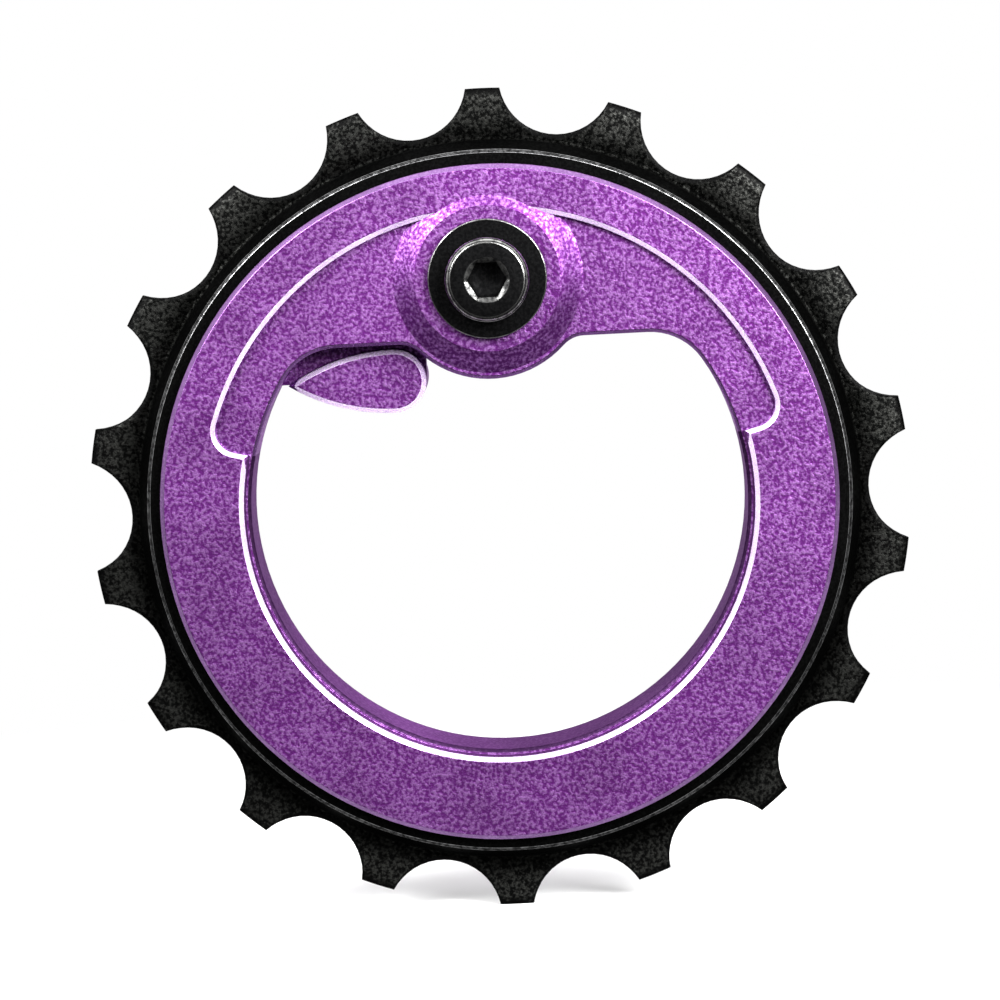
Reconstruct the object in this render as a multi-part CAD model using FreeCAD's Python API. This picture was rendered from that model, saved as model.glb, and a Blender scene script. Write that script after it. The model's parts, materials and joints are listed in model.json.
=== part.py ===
import FreeCAD, Part
import math
import os

# Hollow jockey wheel, in millimetres. A toothed ring turns on a thin-section ball bearing round a
# carrier that stands still and is bolted on through an off-centre hub.
# The origin is the wheel's centre, the wheel turns about Y, its outer face looks along -Y,
# and the hub is straight above the centre, along +Z.

# Chain and teeth
CHAIN_PITCH = 12.7
ROLLER_DIAMETER = 7.75
ROLLER_PLAY = 0.1
TOOTH_COUNT = 18
TOOTH_HEIGHT = 3.75
TOOTH_THICKNESS = 2.0
TIP_THICKNESS = 1.2
TIP_BEVEL = 1.1
GULLET_RADIUS = 5.1
GULLET_EDGE = 0.2
FIRST_TOOTH = 9.5

# Body of the toothed ring
RIM_WALL = 2.6
BODY_WALL = 1.0
BODY_EDGE = 0.25
PLATE_LAND = 0.7
LIP_THICKNESS = 0.4
LIP_DROP = 0.7

# Thin-section bearing
BEARING_WIDTH = 5.0
BEARING_SECTION = 4.5
BALL_DIAMETER = 2.38
BALL_COUNT = 14
BALL_PLAY = 0.04
LAND_GAP = 1.6
RACE_EDGE = 0.25
CAGE_THICKNESS = 1.0
CAGE_WIDTH = 3.4
POCKET_PLAY = 0.12
SEAL_THICKNESS = 0.4
SEAL_INSET = 0.3
SEAL_STEP = 0.65
SEAL_GAP = 0.1
SEAL_GROOVE = 0.15
SEAL_BEAD = 0.45

# Carrier ring
FLANGE_STEP = 0.2
FLANGE_EDGE = 0.4
FLANGE_RIM = 0.6
RUNNING_GAP = 0.3
SHOULDER_WIDTH = 0.9
BARREL_WALL = 3.67
CREST_INSET = 0.6
CREST_EDGE = 0.4
BAND_WIDTH = 4.0
BAND_EDGE = 0.4
BARREL_TAIL = 0.65
EDGE_CHAMFER = 0.3
LAND_WIDTH = 0.15

# Bridge and hub of the carrier
BRIDGE_RECESS = 0.9
BRIDGE_THICKNESS = 6.6
BRIDGE_DROP = 5.5
CORNER_RADIUS = 5.5
POCKET_START = 14.0
POCKET_CORNER = 2.0
HUB_EDGE = 5.6
HUB_RADIUS = 8.9
HUB_FILLET = 2.5
HUB_WIDTH = 9.6
HUB_LEDGE = 0.6
SEAT_RADIUS = 6.4
REAR_SEAT_RADIUS = 4.4

# Locating lug below the bridge
LUG_RADIUS = 2.8
LUG_EDGE = 0.4
LUG_OFFSET = 8.7
LUG_GAP = 0.5
LUG_TIP_GAP = 0.6
LUG_RECESS = 1.9
LUG_REACH = 1.9
LUG_WEB_DEPTH = 3.9
LUG_WEB_THICKNESS = 2.0
LUG_WEB_BITE = 1.5

# Snap ring behind the inner race
SNAP_THICKNESS = 0.8
SNAP_PLAY = 0.05
SNAP_GROOVE = 0.7
SNAP_STAND = 1.0
SNAP_MOUTH = 22.0
SNAP_EYE = 0.9
SNAP_EYE_ANGLE = 3.0

# Mounting bolt and washer
THREAD_DIAMETER = 5.0
THREAD_PLAY = 0.1
SHANK_DIAMETER = 4.5
BOLT_TAIL = 3.2
BOLT_POINT = 0.4
HEAD_DIAMETER = 7.3
HEAD_HEIGHT = 2.4
HEAD_EDGE = 0.4
SOCKET_ACROSS = 3.0
SOCKET_DEPTH = 1.6
WASHER_DIAMETER = 10.4
WASHER_THICKNESS = 0.8
WASHER_EDGE = 0.15

# Radial gap left between pieces that are pressed together
FIT_GAP = 0.02

# Radii that follow from the chain inwards
PITCH_RADIUS = CHAIN_PITCH / 2 / math.sin(math.pi / TOOTH_COUNT)
ROOT_RADIUS = PITCH_RADIUS - ROLLER_DIAMETER / 2 - ROLLER_PLAY
TIP_RADIUS = ROOT_RADIUS + TOOTH_HEIGHT
RACE_OUT_RADIUS = ROOT_RADIUS - RIM_WALL
RACE_IN_RADIUS = RACE_OUT_RADIUS - BEARING_SECTION
BALL_CIRCLE = (RACE_OUT_RADIUS + RACE_IN_RADIUS) / 2
BALL_RADIUS = BALL_DIAMETER / 2
GROOVE_RADIUS = BALL_RADIUS + BALL_PLAY
OUTER_LAND = BALL_CIRCLE + LAND_GAP / 2
INNER_LAND = BALL_CIRCLE - LAND_GAP / 2
SEAL_RADIUS = OUTER_LAND + SEAL_STEP
FLANGE_RADIUS = RACE_OUT_RADIUS - FLANGE_STEP
SEAT_ON_CARRIER = RACE_IN_RADIUS - FIT_GAP
BORE_RADIUS = RACE_IN_RADIUS - BARREL_WALL
POCKET_RADIUS = FLANGE_RADIUS - BAND_WIDTH

# Stations along the axis
BEARING_FACE = BEARING_WIDTH / 2
SEAL_FACE = BEARING_FACE - SEAL_INSET
SEAL_BACK = SEAL_FACE - SEAL_THICKNESS
BODY_FACE = BEARING_FACE + LIP_THICKNESS
FLANGE_BACK = BODY_FACE + RUNNING_GAP
FLANGE_FACE = FLANGE_BACK + FLANGE_RIM + FLANGE_EDGE
BRIDGE_FRONT = FLANGE_FACE - BRIDGE_RECESS
BRIDGE_REAR = BRIDGE_THICKNESS - BRIDGE_FRONT
GROOVE_END = BEARING_FACE + SNAP_THICKNESS + SNAP_PLAY
BARREL_END = GROOVE_END + BARREL_TAIL
HUB_FACE = HUB_WIDTH / 2

# Places in the plane of the wheel
HUB_HEIGHT = RACE_IN_RADIUS - HUB_EDGE
BRIDGE_HEIGHT = HUB_HEIGHT - BRIDGE_DROP
LUG_HEIGHT = BRIDGE_HEIGHT - LUG_GAP - LUG_RADIUS

ORIGIN = FreeCAD.Vector(0, 0, 0)
AXIS = FreeCAD.Vector(0, 1, 0)
FULL_TURN = 360
ON_LINE = 0.001


def at(x, z, y=0):
    """Point from its place in the wheel's plane and its station along the axis."""
    return FreeCAD.Vector(x, y, z)


def turned(shape, angle):
    """Copy of a shape turned about the wheel's axis, from +X towards +Z."""
    copy = shape.copy()
    copy.rotate(ORIGIN, AXIS, -angle)
    return copy


def spun(outline, sweep=FULL_TURN):
    """Solid of revolution about the wheel's axis from a closed outline of (radius, station)."""
    corners = [FreeCAD.Vector(radius, station, 0) for radius, station in outline]
    face = Part.Face(Part.makePolygon(corners + corners[:1]))
    solid = face.revolve(ORIGIN, AXIS, sweep)
    if solid.Volume < 0:
        solid.reverse()
    return solid


def rod(radius, front, rear, x=0, z=0):
    """Cylinder along the axis between two stations."""
    return Part.makeCylinder(radius, rear - front, at(x, z, front), AXIS)


def plate(outline, front, rear):
    """Flat piece made from an outline in the wheel's plane, between two stations."""
    solid = Part.Face(outline).extrude(AXIS * (rear - front))
    solid.translate(AXIS * front)
    return solid


def arc(x, z, radius, start, end):
    """Arc in the wheel's plane, by its centre and its angles from +X towards +Z in degrees."""
    angles = [math.radians(angle) for angle in (start, (start + end) / 2, end)]
    points = [at(x + radius * math.cos(a), z + radius * math.sin(a)) for a in angles]
    return Part.Arc(*points).toShape()


def line(x1, z1, x2, z2):
    """Straight edge in the wheel's plane."""
    return Part.LineSegment(at(x1, z1), at(x2, z2)).toShape()


def edges_along(solid, outline, station):
    """Edges of a solid that lie on an outline moved to a station along the axis."""
    path = outline.translated(AXIS * station)
    found = []
    for edge in solid.Edges:
        middle = edge.valueAt((edge.FirstParameter + edge.LastParameter) / 2)
        ends = [vertex.Point for vertex in edge.Vertexes]
        if all(Part.Vertex(point).distToShape(path)[0] < ON_LINE for point in [middle] + ends):
            found.append(edge)
    return found


def toothed_ring():
    """Ring with the teeth, a seat for the outer race and a lip that stops the race in front."""
    tooth = TOOTH_THICKNESS / 2
    tip = TIP_THICKNESS / 2
    seat = RACE_OUT_RADIUS + FIT_GAP
    body = seat + BODY_WALL
    lip = RACE_OUT_RADIUS - LIP_DROP
    plate_foot = ROOT_RADIUS - PLATE_LAND
    bevel_foot = TIP_RADIUS - TIP_BEVEL
    blank = spun([
        (lip, -BEARING_FACE), (lip, -BODY_FACE),
        (body - BODY_EDGE, -BODY_FACE), (body, -BODY_FACE + BODY_EDGE),
        (plate_foot, -tooth), (bevel_foot, -tooth), (TIP_RADIUS, -tip),
        (TIP_RADIUS, tip), (bevel_foot, tooth), (plate_foot, tooth),
        (body, BODY_FACE - BODY_EDGE), (body - BODY_EDGE, BODY_FACE),
        (seat + BODY_EDGE, BODY_FACE), (seat, BODY_FACE - BODY_EDGE),
        (seat, -BEARING_FACE),
    ])
    flare = GULLET_RADIUS + GULLET_EDGE
    cutter = spun([
        (0, -TOOTH_THICKNESS), (flare, -TOOTH_THICKNESS), (flare, -tooth),
        (GULLET_RADIUS, GULLET_EDGE - tooth), (GULLET_RADIUS, tooth - GULLET_EDGE),
        (flare, tooth), (flare, TOOTH_THICKNESS), (0, TOOTH_THICKNESS),
    ])
    cutter.translate(at(ROOT_RADIUS + GULLET_RADIUS, 0))
    step = FULL_TURN / TOOTH_COUNT
    gullets = [turned(cutter, FIRST_TOOTH + (index + 0.5) * step) for index in range(TOOTH_COUNT)]
    return blank.cut(Part.makeCompound(gullets))


def ball_groove():
    """Ring-shaped space that the balls run in."""
    return Part.makeTorus(BALL_CIRCLE, GROOVE_RADIUS, ORIGIN, AXIS)


def outer_race():
    """Race that is pressed into the toothed ring, with a step for a seal on each side."""
    body = spun([
        (OUTER_LAND, -SEAL_BACK), (SEAL_RADIUS, -SEAL_BACK), (SEAL_RADIUS, -BEARING_FACE),
        (RACE_OUT_RADIUS - RACE_EDGE, -BEARING_FACE), (RACE_OUT_RADIUS, -BEARING_FACE + RACE_EDGE),
        (RACE_OUT_RADIUS, BEARING_FACE - RACE_EDGE), (RACE_OUT_RADIUS - RACE_EDGE, BEARING_FACE),
        (SEAL_RADIUS, BEARING_FACE), (SEAL_RADIUS, SEAL_BACK), (OUTER_LAND, SEAL_BACK),
    ])
    return body.cut(ball_groove())


def inner_race():
    """Race that sits on the carrier's barrel."""
    body = spun([
        (RACE_IN_RADIUS + RACE_EDGE, -BEARING_FACE), (INNER_LAND, -BEARING_FACE),
        (INNER_LAND, BEARING_FACE), (RACE_IN_RADIUS + RACE_EDGE, BEARING_FACE),
        (RACE_IN_RADIUS, BEARING_FACE - RACE_EDGE), (RACE_IN_RADIUS, -BEARING_FACE + RACE_EDGE),
    ])
    return body.cut(ball_groove())


def ball(index):
    """One ball of the bearing."""
    sphere = Part.makeSphere(BALL_RADIUS, at(BALL_CIRCLE, 0))
    return turned(sphere, index * FULL_TURN / BALL_COUNT)


def ball_cage():
    """Ring that spaces the balls, with a round pocket through it for each one."""
    inner = BALL_CIRCLE - CAGE_THICKNESS / 2
    outer = BALL_CIRCLE + CAGE_THICKNESS / 2
    side = CAGE_WIDTH / 2
    body = spun([(inner, -side), (outer, -side), (outer, side), (inner, side)])
    pocket = Part.makeCylinder(BALL_RADIUS + POCKET_PLAY, BALL_DIAMETER,
                               at(BALL_CIRCLE - BALL_RADIUS, 0), FreeCAD.Vector(1, 0, 0))
    step = FULL_TURN / BALL_COUNT
    return body.cut(Part.makeCompound([turned(pocket, i * step) for i in range(BALL_COUNT)]))


def seal(side):
    """Seal in a step of the outer race, with a shallow groove on its face; side is -1 in front."""
    outer = SEAL_RADIUS - FIT_GAP
    inner = INNER_LAND + SEAL_GAP
    floor = SEAL_FACE - SEAL_GROOVE
    outline = [
        (inner, SEAL_BACK), (outer, SEAL_BACK), (outer, SEAL_FACE), (outer - SEAL_BEAD, SEAL_FACE),
        (outer - SEAL_BEAD - SEAL_GROOVE, floor), (inner + SEAL_BEAD + SEAL_GROOVE, floor),
        (inner + SEAL_BEAD, SEAL_FACE), (inner, SEAL_FACE),
    ]
    return spun([(radius, side * station) for radius, station in outline])


def opening_outline():
    """Outline of the hollow: the bore below, and the bridge with its hub above."""
    corner_z = BRIDGE_HEIGHT - CORNER_RADIUS
    corner_x = math.sqrt((BORE_RADIUS - CORNER_RADIUS) ** 2 - corner_z ** 2)
    corner_turn = math.degrees(math.atan2(corner_z, corner_x))
    fillet_z = BRIDGE_HEIGHT - HUB_FILLET
    hub_drop = HUB_HEIGHT - fillet_z
    fillet_x = math.sqrt((HUB_RADIUS + HUB_FILLET) ** 2 - hub_drop ** 2)
    hub_turn = math.degrees(math.atan2(hub_drop, fillet_x))
    return Part.Wire([
        arc(0, 0, BORE_RADIUS, 180 - corner_turn, FULL_TURN + corner_turn),
        arc(corner_x, corner_z, CORNER_RADIUS, corner_turn, 90),
        line(corner_x, BRIDGE_HEIGHT, fillet_x, BRIDGE_HEIGHT),
        arc(fillet_x, fillet_z, HUB_FILLET, 90, 180 - hub_turn),
        arc(0, HUB_HEIGHT, HUB_RADIUS, -hub_turn, hub_turn - 180),
        arc(-fillet_x, fillet_z, HUB_FILLET, hub_turn, 90),
        line(-fillet_x, BRIDGE_HEIGHT, -corner_x, BRIDGE_HEIGHT),
        arc(-corner_x, corner_z, CORNER_RADIUS, 90, 180 - corner_turn),
    ])


def carrier_blank():
    """Flange, barrel and bridge disc turned as one piece, before its openings are cut."""
    crest = BORE_RADIUS + CREST_INSET
    land = BORE_RADIUS + EDGE_CHAMFER + LAND_WIDTH
    return spun([
        (0, -BRIDGE_FRONT), (land, -BRIDGE_FRONT),
        (crest, -FLANGE_FACE + CREST_EDGE), (crest + CREST_EDGE, -FLANGE_FACE),
        (FLANGE_RADIUS - FLANGE_EDGE, -FLANGE_FACE), (FLANGE_RADIUS, -FLANGE_FACE + FLANGE_EDGE),
        (FLANGE_RADIUS, -FLANGE_BACK), (RACE_IN_RADIUS + SHOULDER_WIDTH, -FLANGE_BACK),
        (RACE_IN_RADIUS + SHOULDER_WIDTH, -BEARING_FACE), (SEAT_ON_CARRIER, -BEARING_FACE),
        (SEAT_ON_CARRIER, BEARING_FACE), (SEAT_ON_CARRIER - SNAP_GROOVE, BEARING_FACE),
        (SEAT_ON_CARRIER - SNAP_GROOVE, GROOVE_END), (SEAT_ON_CARRIER, GROOVE_END),
        (SEAT_ON_CARRIER, BARREL_END - EDGE_CHAMFER), (SEAT_ON_CARRIER - EDGE_CHAMFER, BARREL_END),
        (crest, BARREL_END), (land, BRIDGE_REAR), (0, BRIDGE_REAR),
    ])


def pocket_outline():
    """Outline of the pocket in front of the bridge, which leaves a narrow band of the flange."""
    corner_reach = POCKET_RADIUS - POCKET_CORNER
    corner_turn = POCKET_START + math.degrees(math.asin(POCKET_CORNER / corner_reach))
    corner_x = corner_reach * math.cos(math.radians(corner_turn))
    corner_z = corner_reach * math.sin(math.radians(corner_turn))
    end_reach = math.sqrt(corner_reach ** 2 - POCKET_CORNER ** 2)
    across = math.cos(math.radians(POCKET_START))
    up = math.sin(math.radians(POCKET_START))
    near_x, near_z = BORE_RADIUS * across, BORE_RADIUS * up
    far_x, far_z = end_reach * across, end_reach * up
    return Part.Wire([
        line(near_x, near_z, far_x, far_z),
        arc(corner_x, corner_z, POCKET_CORNER, POCKET_START - 90, corner_turn),
        arc(0, 0, POCKET_RADIUS, corner_turn, 180 - corner_turn),
        arc(-corner_x, corner_z, POCKET_CORNER, 180 - corner_turn, 270 - POCKET_START),
        line(-far_x, far_z, -near_x, near_z),
        arc(0, 0, BORE_RADIUS, 180 - POCKET_START, POCKET_START),
    ])


def teardrop():
    """Outline of the lug: a round end towards the hub and a point towards the rim."""
    tip_x = -math.sqrt((BORE_RADIUS - LUG_TIP_GAP) ** 2 - LUG_HEIGHT ** 2)
    length = -LUG_OFFSET - tip_x
    side_radius = (length ** 2 + LUG_RADIUS ** 2) / (2 * LUG_RADIUS)
    lean = math.degrees(math.asin(length / side_radius))
    rise = side_radius - LUG_RADIUS
    return Part.Wire([
        arc(-LUG_OFFSET, LUG_HEIGHT - rise, side_radius, 90 + lean, 90),
        arc(-LUG_OFFSET, LUG_HEIGHT, LUG_RADIUS, 90, -90),
        arc(-LUG_OFFSET, LUG_HEIGHT + rise, side_radius, -90, -90 - lean),
    ])


def lug():
    """Locating lug with bevelled ends, and the web behind that ties it to the bridge and the barrel."""
    front = LUG_RECESS - BRIDGE_FRONT
    rear = HUB_FACE + LUG_REACH
    outline = teardrop()
    peg = plate(outline, front, rear)
    rims = edges_along(peg, outline, front) + edges_along(peg, outline, rear)
    peg = peg.makeChamfer(LUG_EDGE, rims)
    web_left = -math.sqrt(BORE_RADIUS ** 2 - LUG_HEIGHT ** 2) - LUG_WEB_BITE
    web_right = LUG_RADIUS - LUG_OFFSET
    web_top = BRIDGE_HEIGHT + LUG_WEB_BITE
    web = Part.makeBox(web_right - web_left, LUG_WEB_THICKNESS, web_top - LUG_HEIGHT,
                       at(web_left, LUG_HEIGHT, LUG_WEB_DEPTH - BRIDGE_FRONT))
    return peg.fuse(web)


def carrier():
    """Fixed middle of the wheel: flange, bearing barrel, bridge, hub and locating lug."""
    pocket = pocket_outline()
    body = carrier_blank().cut(plate(pocket, -HUB_FACE, -BRIDGE_FRONT))
    body = body.makeChamfer(BAND_EDGE, edges_along(body, pocket, -FLANGE_FACE))
    boss = Part.makeCone(HUB_RADIUS - HUB_LEDGE, SEAT_RADIUS, HUB_FACE - BRIDGE_FRONT,
                         at(0, HUB_HEIGHT, -BRIDGE_FRONT), -AXIS)
    rear_seat = rod(REAR_SEAT_RADIUS, BRIDGE_REAR, HUB_FACE, 0, HUB_HEIGHT)
    body = body.fuse([boss, rear_seat])
    outline = opening_outline()
    body = body.cut(plate(outline, -HUB_WIDTH, HUB_WIDTH)).removeSplitter()
    rims = edges_along(body, outline, -BRIDGE_FRONT) + edges_along(body, outline, BRIDGE_REAR)
    body = body.makeChamfer(EDGE_CHAMFER, rims)
    body = body.fuse(lug())
    body = body.cut(rod(THREAD_DIAMETER / 2 + THREAD_PLAY, -HUB_WIDTH, HUB_WIDTH, 0, HUB_HEIGHT))
    return body.removeSplitter()


def snap_ring():
    """Split ring in the barrel's groove that holds the inner race, with an eye at each end."""
    inner = SEAT_ON_CARRIER - SNAP_GROOVE + SNAP_PLAY
    outer = RACE_IN_RADIUS + SNAP_STAND
    front = BEARING_FACE
    rear = BEARING_FACE + SNAP_THICKNESS
    sweep = FULL_TURN - SNAP_MOUTH
    body = spun([(inner, front), (outer, front), (outer, rear), (inner, rear)], sweep)
    body = turned(body, SNAP_MOUTH / -2 - 90)
    eye = rod(SNAP_EYE / 2, front, rear, (inner + outer) / 2)
    reach = SNAP_MOUTH / 2 + SNAP_EYE_ANGLE
    return body.cut(Part.makeCompound([turned(eye, -90 - reach), turned(eye, -90 + reach)]))


def mounting_bolt():
    """Bolt through the hub: socket head, plain shank and a thread, left smooth, at its free end."""
    seat = -HUB_FACE - WASHER_THICKNESS
    top = seat - HEAD_HEIGHT
    end = HUB_FACE + BOLT_TAIL
    shank = SHANK_DIAMETER / 2
    thread = THREAD_DIAMETER / 2
    head = HEAD_DIAMETER / 2
    body = spun([
        (0, top), (head - HEAD_EDGE, top), (head, top + HEAD_EDGE), (head, seat),
        (shank, seat), (shank, HUB_FACE), (thread, HUB_FACE),
        (thread, end - BOLT_POINT), (thread - BOLT_POINT, end), (0, end),
    ])
    corner = SOCKET_ACROSS / math.sqrt(3)
    turns = [math.radians(60 * index) for index in range(7)]
    hexagon = Part.makePolygon([at(corner * math.cos(t), corner * math.sin(t)) for t in turns])
    bolt = body.cut(plate(hexagon, top, top + SOCKET_DEPTH))
    bolt.translate(at(0, HUB_HEIGHT))
    return bolt


def bolt_washer():
    """Flat washer between the bolt's head and the hub."""
    hole = THREAD_DIAMETER / 2 + THREAD_PLAY
    outer = WASHER_DIAMETER / 2
    front = -HUB_FACE - WASHER_THICKNESS
    washer = spun([
        (hole, front), (outer - WASHER_EDGE, front), (outer, front + WASHER_EDGE),
        (outer, -HUB_FACE), (hole, -HUB_FACE),
    ])
    washer.translate(at(0, HUB_HEIGHT))
    return washer


pieces = {
    "toothed_ring": toothed_ring(),
    "outer_race": outer_race(),
    "inner_race": inner_race(),
    "ball_cage": ball_cage(),
    "front_seal": seal(-1),
    "rear_seal": seal(1),
    "carrier": carrier(),
    "snap_ring": snap_ring(),
    "mounting_bolt": mounting_bolt(),
    "bolt_washer": bolt_washer(),
}
for number in range(BALL_COUNT):
    pieces[f"ball_{number + 1:02d}"] = ball(number)

os.makedirs("parts", exist_ok=True)
for name, shape in pieces.items():
    shape.exportStep(os.path.join("parts", name + ".step"))
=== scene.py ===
"""Looks of a hollow jockey wheel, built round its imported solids, in metres.

The wheel turns about Y, its outer face looks along -Y and its hub is above the centre, along +Z.
"""
import json
import logging
import math
from collections.abc import Iterable
from dataclasses import dataclass, field, replace
from enum import Enum
from typing import ClassVar

import bmesh
import bpy
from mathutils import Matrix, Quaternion, Vector

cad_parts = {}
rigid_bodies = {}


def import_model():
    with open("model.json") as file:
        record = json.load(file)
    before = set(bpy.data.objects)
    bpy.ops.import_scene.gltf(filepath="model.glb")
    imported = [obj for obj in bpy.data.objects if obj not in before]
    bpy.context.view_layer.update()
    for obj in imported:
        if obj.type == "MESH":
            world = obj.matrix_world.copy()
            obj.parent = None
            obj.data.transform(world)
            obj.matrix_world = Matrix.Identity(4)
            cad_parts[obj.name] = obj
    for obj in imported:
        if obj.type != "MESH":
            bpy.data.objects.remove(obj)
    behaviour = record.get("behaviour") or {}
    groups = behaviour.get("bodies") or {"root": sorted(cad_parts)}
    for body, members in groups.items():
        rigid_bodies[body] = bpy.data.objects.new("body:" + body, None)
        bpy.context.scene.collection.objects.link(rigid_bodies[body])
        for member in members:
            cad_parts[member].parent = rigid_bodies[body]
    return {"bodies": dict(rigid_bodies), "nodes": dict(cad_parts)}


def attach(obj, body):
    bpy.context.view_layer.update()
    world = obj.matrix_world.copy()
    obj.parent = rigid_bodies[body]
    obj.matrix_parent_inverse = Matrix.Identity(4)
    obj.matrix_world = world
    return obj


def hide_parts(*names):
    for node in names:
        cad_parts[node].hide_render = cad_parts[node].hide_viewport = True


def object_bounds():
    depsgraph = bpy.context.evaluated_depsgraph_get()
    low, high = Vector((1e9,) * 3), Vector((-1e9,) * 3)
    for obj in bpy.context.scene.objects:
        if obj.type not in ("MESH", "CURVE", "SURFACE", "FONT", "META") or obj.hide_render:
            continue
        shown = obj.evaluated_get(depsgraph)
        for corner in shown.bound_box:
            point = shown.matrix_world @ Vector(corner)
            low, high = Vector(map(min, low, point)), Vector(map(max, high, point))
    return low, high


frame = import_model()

CAD_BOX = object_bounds()
LOG = logging.getLogger("jockey_wheel")
MM = 0.001
AXIS = Vector((0.0, 1.0, 0.0))
EDGE_LAYER = "edge"
MERGE = 0.0005 * MM
NEAR = 10 * MERGE
CREASE = math.radians(38.0)

Colour = tuple[float, float, float, float]


class Body(Enum):
    """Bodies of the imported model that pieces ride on."""

    CARRIER = "carrier"
    RING = "toothed_ring"


class Slot(Enum):
    """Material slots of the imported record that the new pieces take."""

    PURPLE_ALLOY = "purple_alloy"
    BLACK_ALLOY = "black_alloy"
    BEARING_STEEL = "bearing_steel"
    SEAL_RUBBER = "seal_rubber"
    SPRING_STEEL = "spring_steel"
    BLACK_STEEL = "black_steel"


class Side(Enum):
    """Faces of the wheel, by their direction along the axis."""

    FRONT = -1
    REAR = 1


class Cut(Enum):
    """Ways to cut a groove, by their direction from the axis."""

    INWARDS = -1
    OUTWARDS = 1


class EdgeWearAndPaintedLight(float, Enum):
    """Share of an edge in the edge colour: scuffing, and painted highlight and shade on black pieces."""

    NONE = 0.0
    SLIGHT = 0.4
    LIGHT = 0.5
    PLAIN = 0.6
    STRONG = 0.8
    HARD = 0.9
    FULL = 1.0


class MixKind(Enum):
    """Kinds of Mix node: the data type, then the places of the two inputs and of the output."""

    NUMBER = ("FLOAT", 2, 3, 0)
    COLOUR = ("RGBA", 6, 7, 2)


@dataclass(frozen=True)
class WheelSizes:
    """Driving sizes that several pieces share, and the radii that follow from them."""

    chain_pitch: float = 12.7 * MM
    roller_diameter: float = 7.75 * MM
    roller_play: float = 0.1 * MM
    tooth_count: int = 18
    tooth_height: float = 3.75 * MM
    rim_wall: float = 2.6 * MM
    bearing_width: float = 5.0 * MM
    bearing_section: float = 4.5 * MM
    land_gap: float = 1.6 * MM
    ball_diameter: float = 2.38 * MM
    hub_edge: float = 5.6 * MM
    hub_width: float = 9.6 * MM
    fit_gap: float = 0.02 * MM

    @property
    def root_radius(self) -> float:
        """Radius at the bottom of the tooth gaps."""
        pitch_radius = self.chain_pitch / 2 / math.sin(math.pi / self.tooth_count)
        return pitch_radius - self.roller_diameter / 2 - self.roller_play

    @property
    def tip_radius(self) -> float:
        """Radius over the tooth tips."""
        return self.root_radius + self.tooth_height

    @property
    def race_out(self) -> float:
        """Outside radius of the bearing."""
        return self.root_radius - self.rim_wall

    @property
    def race_in(self) -> float:
        """Inside radius of the bearing."""
        return self.race_out - self.bearing_section

    @property
    def ball_circle(self) -> float:
        """Radius of the circle through the balls' centres."""
        return (self.race_out + self.race_in) / 2

    @property
    def bearing_face(self) -> float:
        """Station of the bearing's side face."""
        return self.bearing_width / 2

    @property
    def hub_centre(self) -> Vector:
        """Place of the bolt's axis on the wheel's middle plane."""
        return Vector((0.0, 0.0, self.race_in - self.hub_edge))

    @property
    def hub_face(self) -> float:
        """Station of the hub's end faces."""
        return self.hub_width / 2


@dataclass(frozen=True)
class Corner:
    """Corner of a turned outline.

    Args:
        radius: Distance from the axis.
        station: Place along the axis.
        rounding: Distance that the corner is rounded by; 0 keeps it sharp.
        edge_share: How much of the edge colour the finish shows there.
    """

    radius: float
    station: float
    rounding: float = 0.0
    edge_share: EdgeWearAndPaintedLight = EdgeWearAndPaintedLight.NONE


def mirrored(half: list[Corner]) -> list[Corner]:
    """Completes half an outline with its image across the wheel's middle plane.

    Args:
        half: Corners on one side of the plane, in order.

    Returns:
        The corners and then their images, in order.
    """
    return half + [replace(corner, station=-corner.station) for corner in reversed(half)]


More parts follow.
